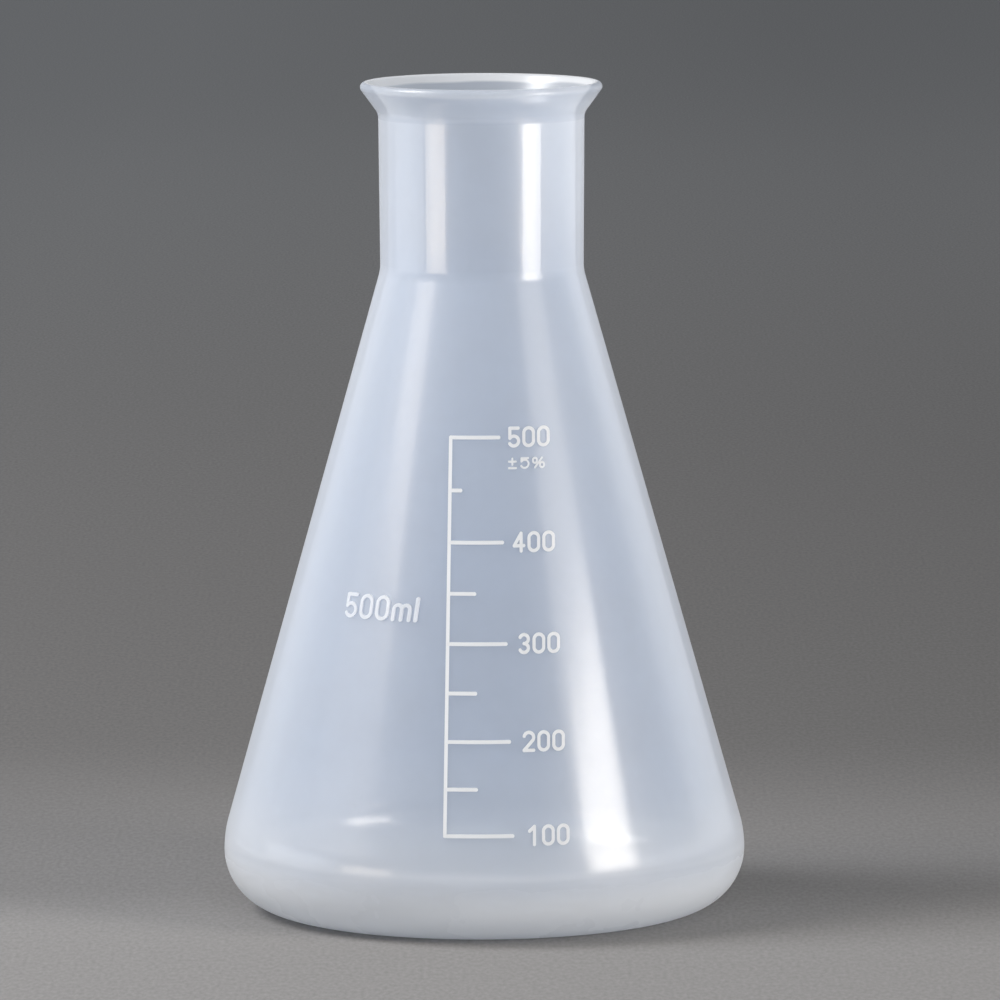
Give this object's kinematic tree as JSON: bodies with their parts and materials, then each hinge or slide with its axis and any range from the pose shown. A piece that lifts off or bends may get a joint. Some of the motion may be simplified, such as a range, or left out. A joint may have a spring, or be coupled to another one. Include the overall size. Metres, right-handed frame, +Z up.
{
  "type": "conical laboratory flask",
  "caption": "Conical laboratory flask in translucent polypropylene, with a short neck, a flared pouring rim, a welded base dish and a raised scale.",
  "frame": {"origin": "centre of the foot, on the surface that the flask stands on", "axes": "+Z up along the flask's axis, -Y towards the raised scale, +X to the right of the scale"},
  "size_m": [0.104, 0.104, 0.1652],
  "materials": {
    "polypropylene_wall": "translucent milky natural polypropylene, satin gloss",
    "raised_scale": "raised ribs of the same polypropylene, whiter than the wall"
  },
  "bodies": {
    "root": {"base_dish": "polypropylene_wall", "cone_wall": "polypropylene_wall", "neck_tube": "polypropylene_wall", "flared_rim": "polypropylene_wall", "scale_spine": "raised_scale", "long_mark_100": "raised_scale", "long_mark_200": "raised_scale", "long_mark_300": "raised_scale", "long_mark_400": "raised_scale", "long_mark_500": "raised_scale", "short_mark_150": "raised_scale", "short_mark_250": "raised_scale", "short_mark_350": "raised_scale", "short_mark_450": "raised_scale", "numeral_100": "raised_scale", "numeral_200": "raised_scale", "numeral_300": "raised_scale", "numeral_400": "raised_scale", "numeral_500": "raised_scale", "tolerance_mark": "raised_scale", "capacity_number": "raised_scale", "capacity_unit": "raised_scale"}
  },
  "joints": []
}
